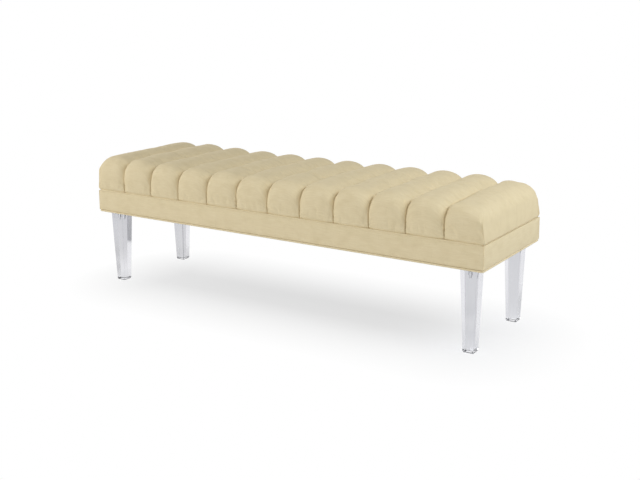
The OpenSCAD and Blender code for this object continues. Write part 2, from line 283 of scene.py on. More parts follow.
def set_cloth_places(obj, places):
    """Keeps each point's place on the flat cloth, in metres, for the weave to follow."""
    layer = obj.data.attributes.new("cloth", "FLOAT_VECTOR", "POINT")
    layer.data.foreach_set("vector", np.asarray(places, np.float32).ravel())


def dress(obj, material, replaced):
    """The finish, body and replaced nodes of a new piece."""
    obj.data.materials.clear()
    obj.data.materials.append(material)
    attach(obj, "root")
    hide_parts(*replaced)


def feed(node, inputs):
    """Gives a node's inputs, by name or number, their values or the outputs that drive them."""
    for key, value in inputs.items():
        if isinstance(value, bpy.types.NodeSocket):
            node.id_data.links.new(value, node.inputs[key])
        else:
            node.inputs[key].default_value = value


def add(mat, kind, inputs=None, **settings):
    """A new node in a material or in the world."""
    node = mat.node_tree.nodes.new(kind)
    for key, value in settings.items():
        setattr(node, key, value)
    feed(node, inputs or {})
    return node


def node_material(name):
    """A material, its shader and its output."""
    mat = bpy.data.materials.new(name)
    mat.use_nodes = True
    mat.node_tree.nodes.clear()
    shader = add(mat, "ShaderNodeBsdfPrincipled")
    out = add(mat, "ShaderNodeOutputMaterial", {"Surface": shader.outputs[0]})
    return mat, shader, out


def object_places(mat):
    return add(mat, "ShaderNodeTexCoord").outputs["Object"]


def noise(mat, vector, scale, stretch, detail):
    """Noise whose grain is scale per metre, longer along the axes with a small stretch."""
    place = add(mat, "ShaderNodeMapping", {"Scale": stretch, "Vector": vector}).outputs[0]
    inputs = {"Scale": scale, "Detail": detail, "Vector": place}
    return add(mat, "ShaderNodeTexNoise", inputs).outputs["Fac"]


def ramp(mat, source, low, high, to_low=0.0, to_high=1.0):
    """A value spread from one range to another, clamped."""
    ends = {"From Min": low, "From Max": high, "To Min": to_low, "To Max": to_high}
    return add(mat, "ShaderNodeMapRange", {"Value": source, **ends}).outputs[0]


def blend_colour(mat, factor, first, second):
    """A mix of two colours, each a socket or a value."""
    first, second = ((*c, 1) if isinstance(c, tuple) else c for c in (first, second))
    mix = add(mat, "ShaderNodeMix", data_type="RGBA")
    feed(mix, {0: factor, 6: first, 7: second})
    return mix.outputs[2]


def mix_shaders(mat, factor, first, second):
    inputs = {0: factor, 1: first.outputs[0], 2: second.outputs[0]}
    return add(mat, "ShaderNodeMixShader", inputs).outputs[0]


def bump(mat, shader, height, distance, strength, under=None):
    """Relief on a shader, in metres, over another relief if one is given."""
    node = add(mat, "ShaderNodeBump", {"Height": height, "Distance": distance, "Strength": strength})
    if under is not None:
        feed(node, {"Normal": under})
    feed(shader, {"Normal": node.outputs[0]})
    return node.outputs[0]


def maths(mat, operation, first, second):
    return add(mat, "ShaderNodeMath", {0: first, 1: second}, operation=operation).outputs[0]


def vector_maths(mat, operation, vector, other=(0, 0, 0)):
    node = add(mat, "ShaderNodeVectorMath", {0: vector, 1: other}, operation=operation)
    return node.outputs["Value" if operation == "LENGTH" else "Vector"]


def threads(mat, vector, pitch, axis, distortion=1.2):
    """Fine ridges across one axis of the cloth, like its threads."""
    wave = add(mat, "ShaderNodeTexWave", wave_type="BANDS", bands_direction=axis)
    feed(wave, {"Vector": vector, "Scale": math.pi / (10 * pitch), "Distortion": distortion})
    feed(wave, {"Detail": 1.0, "Detail Scale": 0.6})
    return wave.outputs["Fac"]


def fabric_material(name, turn=0.0):
    """Slubbed silk and linen: uneven threads along the bench, finer ones across."""
    mat, shader, _ = node_material(name)
    cloth = add(mat, "ShaderNodeAttribute", attribute_name="cloth").outputs["Vector"]
    if turn:
        cloth = add(mat, "ShaderNodeMapping", {"Rotation": (0, 0, turn), "Vector": cloth}).outputs[0]
    calm = add(mat, "ShaderNodeSeparateXYZ", {0: cloth}).outputs["Z"]
    seen = ramp(mat, calm, 0.0, 1.0, 1.0, 0.12)
    broad = noise(mat, cloth, 26.0, (1, 1.3, 0), 3.0)
    slubs = noise(mat, cloth, 22.0, (1, 16, 0), 3.0)
    fine_slubs = noise(mat, cloth, 34.0, (1, 26, 0), 2.0)
    cross = noise(mat, cloth, 22.0, (18, 1, 0), 2.0)
    streaks = ramp(mat, slubs, 0.40, 0.74, 0.15, 0.85)
    long = maths(mat, "MULTIPLY", streaks, ramp(mat, seen, 0.0, 1.0, 0.15, 1.0))
    first = blend_colour(mat, long, FABRIC, FABRIC_LIGHT)
    short = maths(mat, "MULTIPLY", ramp(mat, fine_slubs, 0.60, 0.80, 0.0, 0.9), seen)
    second = blend_colour(mat, short, first, FABRIC_DARK)
    upright = maths(mat, "MULTIPLY", ramp(mat, cross, 0.62, 0.80, 0.0, 0.5), seen)
    third = blend_colour(mat, upright, second, FABRIC_DARK)
    colour = blend_colour(mat, ramp(mat, broad, 0.45, 0.85, 0.0, 0.45), third, FABRIC_DARK)
    feed(shader, {"Base Color": colour, "Roughness": ramp(mat, slubs, 0.35, 0.75, 0.72, 0.58)})
    feed(shader, {"Specular IOR Level": 0.14, "Sheen Weight": 0.05, "Sheen Roughness": 0.45})
    feed(shader, {"Sheen Tint": (1.0, 0.94, 0.80, 1)})
    weft = maths(mat, "MULTIPLY", threads(mat, cloth, 0.0009, "Y"), 0.6)
    warp = maths(mat, "MULTIPLY", threads(mat, cloth, 0.0007, "X"), 0.4)
    under = bump(mat, shader, maths(mat, "ADD", weft, warp), 0.00012, 0.6)
    bump(mat, shader, maths(mat, "MULTIPLY", ramp(mat, slubs, 0.35, 0.8), seen), 0.0004, 0.45, under)
    return mat


def acrylic_material():
    """Clear cast acrylic, polished, with faint wiping marks; lamps pass through it. Its grey absorption
    is partly its own faint tint and partly painted shade for the dim surroundings seen through it.
    """
    mat, shader, out = node_material("clear_acrylic")
    marks = noise(mat, object_places(mat), 60.0, (1, 1, 0.15), 4.0)
    feed(shader, {"Base Color": (1, 1, 1, 1), "Transmission Weight": 1.0, "IOR": 1.49})
    feed(shader, {"Roughness": ramp(mat, marks, 0.5, 0.8, 0.0, 0.02)})
    clear = add(mat, "ShaderNodeBsdfTransparent", {"Color": (0.93, 0.94, 0.95, 1)})
    shadow = add(mat, "ShaderNodeLightPath").outputs["Is Shadow Ray"]
    depth = add(mat, "ShaderNodeVolumeAbsorption", ACRYLIC_DEPTH).outputs[0]
    feed(out, {"Surface": mix_shaders(mat, shadow, shader, clear), "Volume": depth})
    return mat


def metal_material():
    """Zinc-plated steel with a cloudy plating and fine drawing marks."""
    mat, shader, _ = node_material("hardware")
    place = object_places(mat)
    clouds = noise(mat, place, 90.0, (1, 1, 1), 3.0)
    marks = noise(mat, place, 400.0, (1, 1, 0.05), 2.0)
    colour = blend_colour(mat, ramp(mat, clouds, 0.35, 0.7), (0.62, 0.63, 0.65), (0.78, 0.78, 0.78))
    feed(shader, {"Base Color": colour, "Roughness": ramp(mat, marks, 0.3, 0.7, 0.42, 0.58)})
    feed(shader, {"Metallic": 1.0})
    bump(mat, shader, marks, 0.0001, 0.3)
    return mat


# Dark pads under the feet: their darkness is partly their own and partly painted shade, the dark
# contact line seen along each foot through the glass
def rubber_material():
    mat, shader, _ = node_material("foot_pad")
    grain = noise(mat, object_places(mat), 900.0, (1, 1, 1), 3.0)
    colour = blend_colour(mat, ramp(mat, grain, 0.35, 0.7), (0.070, 0.070, 0.074), (0.13, 0.13, 0.135))
    feed(shader, {"Base Color": colour, "Roughness": ramp(mat, grain, 0.3, 0.7, 0.6, 0.8)})
    bump(mat, shader, grain, 0.0002, 0.5)
    return mat


def pine_material():
    """Planed softwood: growth rings drawn out along the board, with pores."""
    mat, shader, _ = node_material("frame_wood")
    place = object_places(mat)
    along = add(mat, "ShaderNodeMapping", {"Scale": (0.12, 1, 1), "Vector": place}).outputs[0]
    rings = add(mat, "ShaderNodeTexWave", {"Vector": along}, wave_type="RINGS", rings_direction="X")
    feed(rings, {"Scale": 22.0, "Distortion": 7.0, "Detail": 2.0, "Detail Scale": 1.2})
    fibres = noise(mat, place, 160.0, (0.05, 1, 1), 3.0)
    light = blend_colour(mat, rings.outputs["Fac"], (0.62, 0.42, 0.21), (0.46, 0.27, 0.11))
    colour = blend_colour(mat, ramp(mat, fibres, 0.5, 0.8, 0.0, 0.5), light, (0.36, 0.21, 0.09))
    feed(shader, {"Base Color": colour, "Roughness": 0.62})
    bump(mat, shader, fibres, 0.0004, 0.5)
    return mat


def plywood_material():
    """Birch plywood: a calm face veneer and layered edges."""
    mat, shader, _ = node_material("plywood")
    place = object_places(mat)
    grain = noise(mat, place, 60.0, (0.1, 1, 1), 4.0)
    layers = threads(mat, place, 0.003, "Z", 0.3)
    face = blend_colour(mat, ramp(mat, grain, 0.35, 0.75), (0.60, 0.43, 0.25), (0.45, 0.29, 0.14))
    colour = blend_colour(mat, ramp(mat, layers, 0.45, 0.6, 0.0, 0.45), face, (0.30, 0.18, 0.09))
    feed(shader, {"Base Color": colour, "Roughness": 0.68})
    bump(mat, shader, grain, 0.0003, 0.4)
    return mat


def foam_material():
    """Open-cell foam with fine cells and a slightly yellowed skin."""
    mat, shader, _ = node_material("foam")
    place = object_places(mat)
    cells = add(mat, "ShaderNodeTexVoronoi", {"Scale": 900.0, "Vector": place})
    broad = noise(mat, place, 6.0, (1, 1, 1), 2.0)
    colour = blend_colour(mat, ramp(mat, broad, 0.35, 0.7), (0.84, 0.78, 0.56), (0.76, 0.68, 0.44))
    feed(shader, {"Base Color": colour, "Roughness": 0.9})
    bump(mat, shader, cells.outputs["Distance"], 0.0006, 0.7)
    return mat


def plain_cloth_material(name, base, dark, pitch):
    """A thin plain cloth with a fine even weave."""
    mat, shader, _ = node_material(name)
    place = object_places(mat)
    weft = threads(mat, place, pitch, "Y", 0.8)
    warp = threads(mat, place, pitch, "X", 0.8)
    speckle = noise(mat, place, 420.0, (1, 1, 1), 3.0)
    colour = blend_colour(mat, ramp(mat, speckle, 0.35, 0.75), base, dark)
    feed(shader, {"Base Color": colour, "Roughness": ramp(mat, speckle, 0.3, 0.7, 0.75, 0.92)})
    feed(shader, {"Specular IOR Level": 0.2})
    bump(mat, shader, maths(mat, "MULTIPLY", weft, warp), 0.0002, 0.6)
    return mat


def row_places():
    """Each row's part of the outline and its share of that part, from the middle to the edge."""
    crown = [("crown", t) for t in np.linspace(0, 1, CROWN_ROWS, endpoint=False)]
    arc = [("arc", t) for t in np.linspace(0, 1, ARC_ROWS, endpoint=False)]
    wall = [("wall", t) for t in np.linspace(0, 1, WALL_ROWS + 1)]
    return crown + arc + wall


def outline(face, edge, top, rise, round_d, round_h):
    """Half an outline of the seat, from the middle to its lower edge, as (y, z) above the deck."""
    points = []
    for part, t in row_places():
        if part == "crown":
            y = (face - round_d) * t
            z = top
        elif part == "arc":
            angle = t * math.pi / 2
            y = face - round_d * (1 - math.sin(angle))
            z = top - round_h * (1 - math.cos(angle))
        else:
            z = (top - round_h) * (1 - t)
            y = edge + (face - edge) * np.sin((1 - t) * math.pi / 2)
        ridge = np.clip(1 - (y / np.maximum(face, 1e-6)) ** 2, 0, 1) ** 1.5
        z = z + rise * ridge * (part != "wall")
        points.append((y, z))
    return points


def tuck(depth, height):
    """How far the cloth turns in towards the welt just above the seat's lower edge."""
    share = np.clip(1 - height / TUCK_H, 0, 1)
    return depth - TUCK_D * share**2


def row_rounds():
    """The power and softness of a channel's round at each row: flat in front, round on top."""
    rounds = []
    for part, t in row_places():
        blend = {"crown": 0.0, "arc": t, "wall": 1.0}[part]
        rounds.append([top + (face - top) * blend for top, face in zip(TOP_ROUND, FACE_ROUND)])
    return rounds


def rear_swells(u, rounds):
    """How full the cloth is at each row from the middle to the back edge."""
    swells = []
    for (part, t), (power, soft) in zip(row_places(), rounds):
        back = t if part == "crown" else 1.0
        leant = u + REAR_LEAN * back * (1 - u * u)
        fuller = REAR_FULLER * back * max(-u, 0)
        swells.append(max(1 - abs(leant) ** power, 0) ** (soft - fuller))
    return swells


def smooth_share(low, high, value):
    t = np.clip((value - low) / (high - low), 0, 1)
    return t * t * (3 - 2 * t)


def column_places():
    """Places across a channel from -1 to 1, closer together at its seams."""
    return np.sin(np.linspace(-math.pi / 2, math.pi / 2, COLUMNS + 1))


def full_section(front_half, rear_half):
    """The whole outline from its halves: front edge, over the top, back edge, as an array (row, 2)."""
    front = [(-y, z) for y, z in reversed(front_half)]
    back = [(y, z) for y, z in rear_half[1:]]
    return np.array(front + back, float)


def inward():
    """The direction into the padding at each point of a half outline."""
    ways = []
    for part, t in row_places():
        angle = {"crown": 0.0, "arc": t, "wall": 1.0}[part] * math.pi / 2
        if part == "wall":
            fade = SLIT_AT_SHOULDER + (1 - SLIT_AT_SHOULDER) * smooth_share(0, SLIT_FADES[0], t)
            fade *= smooth_share(0, SLIT_FADES[1], 1 - t)
        else:
            fade = SLIT_ON_TOP + (SLIT_AT_SHOULDER - SLIT_ON_TOP) * (part == "arc") * t**2
        ways.append((-math.sin(angle) * fade, -math.cos(angle) * fade))
    return ways


def channel_section(front_swell, rear_swell, share, face, slit):
    """One column of cloth: the valley's outline filled out towards the crest's."""
    halves = []
    low_face, low_edge = min(VALLEY_FACE, face), min(VALLEY_EDGE, face)
    for swells, crest_round, valley_round in (
        (front_swell, SHOULDER, VALLEY_SHOULDER),
        (rear_swell, REAR_SHOULDER, REAR_VALLEY_SHOULDER),
    ):
        crest = outline(face, min(CREST_EDGE, face), CREST_H, CREST_RISE, *crest_round)
        valley = outline(low_face, low_edge, CREST_H - VALLEY_DROP, CREST_RISE, *valley_round)
        half = []
        for (cy, cz), (vy, vz), (way_y, way_z), swell in zip(crest, valley, inward(), swells):
            y = vy + (cy - vy) * swell + way_y * slit
            z = (vz + (cz - vz) * swell + way_z * slit) * share
            half.append((tuck(y, z), z))
        halves.append(half)
    return full_section(*halves)


def end_section(share, face, height):
    """One column of cloth over a short end, lower and lower towards the band."""
    halves = []
    for corner, (round_d, round_h) in zip(CORNER_ROUND, (SHOULDER, REAR_SHOULDER)):
        curl = corner + (1 - corner) * smooth_share(0.5, 1.0, height)
        half = outline(
            face,
            min(CREST_EDGE, face),
            CREST_H * share,
            CREST_RISE * share,
            round_d * curl,
            round_h * curl * share,
        )
        halves.append([(tuck(y, z), z) for y, z in half])
    return full_section(*halves)


def corner_fold(height):
    """How far each row turns in at the corners, up to this share of the end's height."""
    depth = FOLD_DEPTH * (1 - smooth_share(*FOLD_UP_TO, height))
    half = []
    for part, t in row_places():
        near = math.exp(-(((t - 0.5) / FOLD_WIDTH) ** 2))
        half.append(depth * near * (part == "arc"))
    return np.array([*reversed(half), *half[1:]])


def between(ends, channel):
    """A value that changes evenly from the first channel to the last."""
    return ends[0] + (ends[1] - ends[0]) * channel / (CHANNELS - 1)


def channel_rise(channel, u):
    """How much the cloth stands above the plain height, even between neighbours at their seam."""
    beside = min(max(channel + (1 if u > 0 else -1), 0), CHANNELS - 1)
    seam = (CHANNEL_RISE[channel] + CHANNEL_RISE[beside]) / 2
    return CHANNEL_RISE[channel] * (1 - abs(u)) + seam * abs(u)


def seat_columns():
    """Every column of the seat's cloth: (x, section), channel by channel from the left."""
    rounds = row_rounds()
    columns = []
    for channel in range(CHANNELS):
        centre = -HALF_L + PITCH * (channel + 0.5)
        end = {0: LEFT_END, CHANNELS - 1: RIGHT_END}.get(channel)
        side = -1 if channel == 0 else 1
        inner = []
        for u in column_places():
            out = u * side
            x = centre + u * (HALF_PITCH - SEAM_GAP)
            if end is None or out < 0:
                swell = [max(1 - abs(u) ** power, 0) ** soft for power, soft in rounds]
                rear_swell = rear_swells(u, rounds)
                share = 1.0 if end is None else 1 - (1 - end["share"]) * (1 + out)
                face = CREST_FACE
                if end is not None:
                    face -= (CREST_FACE - END_CREST_FACE) * (1 + out)
                begin = between(SLIT_FROM, channel)
                beside = max((abs(u) - begin) / (1 - begin), 0)
                slit = between(SLIT_DEPTH, channel) * beside**SLIT_POWER
                section = channel_section(swell, rear_swell, share, face, slit)
            else:
                angle = math.acos(min(out, 1.0))
                reach = math.cos(angle) ** (2 / end["power"])
                share = end["share"] * math.sin(angle) ** (2 / end["power"])
                share = max(share, END_FOOT / CREST_H)
                x = centre + side * reach * HALF_PITCH
                face = END_CREST_FACE - (END_CREST_FACE - END_FACE) * reach**3
                section = end_section(share, face, share / end["share"])
            points = np.empty((len(section), 3))
            points[:, 0] = x
            points[:, 1:] = section
            rise = CREST_TILT * centre + channel_rise(channel, u)
            rise += DEPTH_TILT * (points[:, 1] - DEPTH_TILT_FROM)
            points[:, 2] *= 1 + rise / CREST_H
            if end is not None and out > 0:
                near = reach**6
                lean = END_LEAN * smooth_share(0.0, 0.3, points[:, 2] / CREST_H)
                drawn_in = END_TUCK_D * np.clip(1 - points[:, 2] / TUCK_H, 0, 1) ** 2
                points[:, 0] -= side * near * (lean + drawn_in)
            inner.append(points)
        columns.append(np.array(inner))
    return columns


def unevenness(columns):
    """Adds the hand-made unevenness of the padding and the puckers beside the seams."""
    rng = np.random.default_rng(UNEVEN_SEED)
    uneven = []
    for channel, points in enumerate(columns):
        count, rows, _ = points.shape
        u = np.linspace(-1, 1, count)[:, None]
        s = np.linspace(0, 1, rows)[None, :]
        bumps = np.zeros((count, rows))
        for _ in range(5):
            turns = rng.uniform(1.0, 5.0)
            tilt = rng.uniform(-1.5, 1.5)
            phase = rng.uniform(0, 2 * math.pi)
            bumps += np.sin(2 * math.pi * turns * s + tilt * u + phase) * rng.uniform(0.2, 0.6)
        soft = bumps * UNEVEN_H * (1 - u**4)
        pucker = np.zeros((count, rows))
        for side in (-1, 1):
            near = np.exp(-(((1 - side * u) / PUCKER_REACH) ** 2)) * (1 - np.abs(u) ** 8)
            ripple = np.zeros((1, rows))
            for _ in range(4):
                turns = rng.uniform(9, 22)
                ripple += np.sin(2 * math.pi * turns * s + rng.uniform(0, 6.3)) * rng.uniform(0.3, 1.0)
            outer = (channel, side) in ((0, -1), (CHANNELS - 1, 1))
            pucker += near * ripple * (PUCKER_AT_END if outer else 1.0)
        lift = soft + pucker * PUCKER_H
        normal = np.cross(np.gradient(points, axis=0), np.gradient(points, axis=1))
        normal /= np.maximum(np.linalg.norm(normal, axis=2, keepdims=True), 1e-12)
        lift[:, :3] = 0
        lift[:, -3:] = 0
        moved = points + normal * lift[:, :, None]
        moved[:, 0] = points[:, 0]
        moved[:, -1] = points[:, -1]
        uneven.append(moved)
    return uneven


def cloth_sheet(columns):
    """The seat's cloth as one mesh of open strips, with the points that its seams and edges hold."""
    verts = []
    faces = []
    held = []
    for points in columns:
        count, rows, _ = points.shape
        first = len(verts)
        verts += points.reshape(-1, 3).tolist()
        for i in range(count):
            for j in range(rows):
                place = first + i * rows + j
                if i in (0, count - 1) or j < HELD_ROWS or j >= rows - HELD_ROWS:
                    held.append(place)
                if i and j:
                    faces.append((place - rows - 1, place - 1, place, place - rows))
    sheet = new_mesh("seat_cloth", verts, faces)
    sheet.vertex_groups.new(name="held").add(held, 1.0, "REPLACE")
    return sheet


def settle(columns):
    """Lets the filling push the cloth out between its seams, each channel in its own strip."""
    sheet = cloth_sheet(columns)
    cloth = sheet.modifiers.new("cloth", "CLOTH")
    for key, value in CLOTH_SETTINGS.items():
        setattr(cloth.settings, key, value)
    cloth.settings.effector_weights.gravity = 0
    cloth.point_cache.frame_end = CLOTH_FRAMES
    scene = bpy.context.scene
    for step in range(1, CLOTH_FRAMES + 1):
        scene.frame_set(step)
    graph = bpy.context.evaluated_depsgraph_get()
    settled = np.empty(len(sheet.data.vertices) * 3)
    sheet.evaluated_get(graph).data.vertices.foreach_get("co", settled)
    settled = settled.reshape(-1, 3)
    bpy.data.objects.remove(sheet)
    scene.frame_set(1)
    pushed = []
    first = 0
    for number, points in enumerate(columns):
        size = points.shape[0] * points.shape[1]
        moved = settled[first : first + size].reshape(points.shape) - points
        first += size
        far = np.linalg.norm(moved, axis=2, keepdims=True)
        moved *= CLOTH_REACH * np.tanh(far / CLOTH_REACH) / np.maximum(far, 1e-9)
        moved *= 1 - smooth_share(*HELD_SHARE, np.abs(column_places()))[:, None, None]
        result = points + moved
        low = -HALF_L + PITCH * number
        result[:, :, 0] = np.clip(result[:, :, 0], low + SEAM_GAP, low + PITCH - SEAM_GAP)
        pushed.append(result)
    return pushed


def refine(points):
    """Doubles the grid with points on a smooth curve through the old ones."""
    for axis in (0, 1):
        p = np.moveaxis(points, axis, 0)
        middle = (p[:-1] + p[1:]) / 2
        middle[1:-1] = (9 * (p[1:-2] + p[2:-1]) - p[:-3] - p[3:]) / 16
        fine = np.empty((2 * len(p) - 1, *p.shape[1:]))
        fine[::2] = p
        fine[1::2] = middle
        points = np.moveaxis(fine, 0, axis)
    return points


def over_end(points):
    """How far each column lies over a short end of the seat, from 0 to 1."""
    x = points[:, points.shape[1] // 2, 0]
    return np.clip((np.abs(x) - HALF_L + HALF_PITCH) / HALF_PITCH, 0, 1) ** 2


def flat_places(points):
    """Each point's place on the flat cloth, across and along, and its calm over an end."""
    across = np.linalg.norm(np.diff(points[:, points.shape[1] // 2], axis=0), axis=1)
    along = np.linalg.norm(np.diff(points[points.shape[0] // 2], axis=0), axis=1)
    places = np.zeros(points.shape)
    places[:, :, 0] = np.concatenate([[0], np.cumsum(across)])[:, None]
    places[:, :, 1] = np.concatenate([[0], np.cumsum(along)])[None, :]
    on_top = 1 - smooth_share(*TOP_ENDS_Y, np.abs(points[:, :, 1]))
    places[:, :, 2] = np.maximum(over_end(points)[:, None], TOP_CALM * on_top)
    return places


def cavity(x):
    """The underside of a channel: round the foam core, or flat past its end."""
    height = CORE_H if abs(x) <= CORE_HALF_X else FOOT_H
    low = [(CORE_HALF_Y, 0), (CORE_HALF_Y, height), (CORE_HALF_Y / 3, height)]
    return [*low, *[(-y, z) for y, z in reversed(low)]]


def skirt_drop(x, y, z):
    """The cloth outside the deck reaches a little below it, to the welt."""
    outside = max(abs(x) - SKIRT_FROM_X, abs(y) - SKIRT_FROM_Y)
    return SKIRT_DROP * float(smooth_share(0, SKIRT_BLEND, outside)) * max(1 - z / TUCK_H, 0)


def askew(x, y):
    """Where a point lies sideways once the seams run a little askew, as sewn by hand."""
    seams = np.linspace(-HALF_L, HALF_L, CHANNELS + 1)
    drift = float(np.interp(x, seams, SEAM_DRIFT))
    return x + drift * (y + CREST_FACE) / (2 * CREST_FACE)


def channel_pad(number, points, material):
    """A closed padded channel: its cloth over the core, with flat sides at the seams."""
    places = flat_places(points)
    places[:, :, 0] += number * WEAVE_APART
    count, rows, _ = points.shape
    verts = []
    flat = []
    for column in range(count):
        x = points[column, rows // 2, 0]
        under = [(x, y, z) for y, z in cavity(x)]
        verts += [*points[column].tolist(), *under]
        flat += [*places[column].tolist(), *[(0, 0, 0)] * len(under)]
    ring = rows + 6
    faces = []
    for column in range(count - 1):
        for k in range(ring):
            a = column * ring + k
            b = column * ring + (k + 1) % ring
            faces.append((a, b, b + ring, a + ring))
    faces.append(tuple(range(ring - 1, -1, -1)))
    faces.append(tuple((count - 1) * ring + k for k in range(ring)))
    verts = [(askew(x, y), y, z + SEAT_Z - skirt_drop(x, y, z)) for x, y, z in verts]
    name = f"channel_pad_{number:02d}"
    pad = new_mesh(name, verts, faces)
    set_cloth_places(pad, flat)
    sharpen(pad, 50)
    dress(pad, material, [f"channel_{number:02d}"])


def sharpen(obj, degrees=180):
    """Turns the faces outward and keeps an edge crisp where they meet at more than this angle."""
    shape = bmesh.new()
    shape.from_mesh(obj.data)
    bmesh.ops.recalc_face_normals(shape, faces=shape.faces)
    limit = math.radians(degrees)
    for edge in shape.edges:
        if len(edge.link_faces) == 2 and edge.calc_face_angle(0) > limit:
            edge.smooth = False
    shape.to_mesh(obj.data)
    shape.free()


def fold_corners(columns):
    """One fold down each corner of the seat, from part of its height to the band."""
    for side, points in ((-1, columns[0]), (1, columns[-1])):
        top = points[:, :, 2].max()
        for column in points:
            if side * column[0, 0] > HALF_L - HALF_PITCH:
                fold = corner_fold(column[:, 2].max() / top)
                column[:, 0] -= side * fold
                column[:, 1] -= np.sign(column[:, 1]) * fold / 2
    return columns


def build_seat(material):
    columns = fold_corners(settle(unevenness(seat_columns())))
    for number, points in enumerate(columns, start=1):
        channel_pad(number, refine(points), material)


def band_panel(name, node, centre, along, outward, length, material, seed):
    """A thin padded panel of the band, full in its middle and drawn down at its edges."""
    rng = np.random.default_rng(seed)
    count = int(length / PANEL_STEP)
    rows = PANEL_ROWS
    s = np.linspace(-1, 1, count + 1)
    t = np.linspace(-1, 1, rows + 1)
    soft = np.zeros((count + 1, rows + 1))
    for _ in range(6):
        turns = rng.uniform(1.5, 9.0) * length
        phase = rng.uniform(0, 2 * math.pi)
        tilt = rng.uniform(-1.2, 1.2)
        soft += np.sin(2 * math.pi * turns * s[:, None] + tilt * t[None, :] + phase)
    rise = (1 - np.abs(t) ** 4)[None, :] * (1 - np.abs(s) ** (length / 0.004))[:, None]
    depth = PANEL_EDGE + (PANEL_FULL + PANEL_UNEVEN * soft) * rise
    verts = []
    flat = []
    half = length / 2
    tall = (BAND_HIGH - BAND_LOW) / 2
    for i in range(count + 1):
        for j in range(rows + 1):
            place = centre + along * (s[i] * half) + outward * depth[i, j]
            verts.append(place + Vector((0, 0, t[j] * tall)))
            flat.append((s[i] * half + seed * PANELS_APART, t[j] * tall, 0))
    front = len(verts)
    for i in (0, count):
        for j in (0, rows):
            place = centre + along * (s[i] * (half - PANEL_MITRE)) - outward * BAND_T
            verts.append(place + Vector((0, 0, t[j] * tall)))
            flat.append((s[i] * half, t[j] * tall, 0))
    wide = rows + 1
    faces = []
    for i in range(count):
        for j in range(rows):
            a = i * wide + j
            faces.append((a, a + wide, a + wide + 1, a + 1))
    low_left, high_left, low_right, high_right = range(front, front + 4)
    faces.append((low_left, high_left, high_right, low_right))
    faces.append((low_left, low_right, *[i * wide for i in range(count, -1, -1)]))
    faces.append((high_right, high_left, *[i * wide + rows for i in range(count + 1)]))
    faces.append((high_left, low_left, *[j for j in range(rows + 1)]))
    faces.append((low_right, high_right, *[count * wide + j for j in range(rows, -1, -1)]))
    panel = new_mesh(name, verts, faces)
    set_cloth_places(panel, flat)
    sharpen(panel, 40)
    dress(panel, material, [node])


def build_band(material):
    middle = (BAND_LOW + BAND_HIGH) / 2
    long = Vector((1, 0, 0))
    deep = Vector((0, 1, 0))
    sides = (
        ("front", Vector((0, -BAND_OUT_Y, middle)), long, -deep, 2 * BAND_OUT_X, 3),
        ("rear", Vector((0, BAND_OUT_Y, middle)), long, deep, 2 * BAND_OUT_X, 4),
        ("left", Vector((-BAND_OUT_X, 0, middle)), deep, -long, 2 * BAND_OUT_Y, 5),
        ("right", Vector((BAND_OUT_X, 0, middle)), deep, long, 2 * BAND_OUT_Y, 6),
    )
    for side, centre, along, outward, length, seed in sides:
        band_panel(f"{side}_band_panel", f"{side}_band", centre, along, outward, length, material, seed)


def welt_path(half_x, half_y, bend, step):
    """Points round the bench with their outward direction and distance along the way."""
    places = []
    straight_x = half_x - bend
    straight_y = half_y - bend
    corners = (
        ((straight_x, -straight_y), -90, (0, 1), 2 * straight_y),
        ((straight_x, straight_y), 0, (-1, 0), 2 * straight_x),
        ((-straight_x, straight_y), 90, (0, -1), 2 * straight_y),
        ((-straight_x, -straight_y), 180, (1, 0), 2 * straight_x),
    )
    for (cx, cy), start, way, run in corners:
        for turn in np.linspace(0, 90, 7):
            angle = math.radians(start + turn)
            out = Vector((math.cos(angle), math.sin(angle), 0))
            places.append((Vector((cx, cy, 0)) + out * bend, out))
        last, out = places[-1]
        pieces = max(int(run / step), 1)
        for k in range(1, pieces):
            places.append((last + Vector((*way, 0)) * (run * k / pieces), out))
    return places


def welt(name, node, half_x, half_y, z, radius, material, seed):
    """A covered cord sewn round the bench, slightly gathered along its length."""
    rng = np.random.default_rng(seed)
    places = welt_path(half_x, half_y, WELT_BEND, WELT_STEP)
    sides = WELT_SIDES
    waves = [(rng.integers(60, 420), rng.uniform(0, 6.3), rng.uniform(0.2, 1.0)) for _ in range(7)]
    verts = []
    flat = []
    length = 0.0
    for k, (place, out) in enumerate(places):
        if k:
            length += (place - places[k - 1][0]).length
        share = k / len(places)
        swell = sum(a * math.sin(2 * math.pi * n * share + p) for n, p, a in waves) / 4
        reach = radius * (0.965 + 0.03 * swell)
        for side in range(sides):
            angle = 2 * math.pi * side / sides
            offset = out * (math.cos(angle) * reach) + Vector((0, 0, math.sin(angle) * reach))
            verts.append(place + offset + Vector((0, 0, z)))
            flat.append((length, angle * radius, 0))
    faces = []
    total = len(places)
    for k in range(total):
        for side in range(sides):
            a = k * sides + side
            b = k * sides + (side + 1) % sides
            c = ((k + 1) % total) * sides + (side + 1) % sides
            d = ((k + 1) % total) * sides + side
            faces.append((a, b, c, d))
    cord = new_mesh(name, verts, faces)
    set_cloth_places(cord, flat)
    sharpen(cord)
    dress(cord, material, [node])


def bevelled_square(width, bevel):
    """Points round a square with bevelled corners, about its middle."""
    half = width / 2
    near = half - bevel
    first = [(half, near), (near, half)]
    points = []
    for _ in range(4):
        points += first
        first = [(-py, px) for px, py in first]
    return points


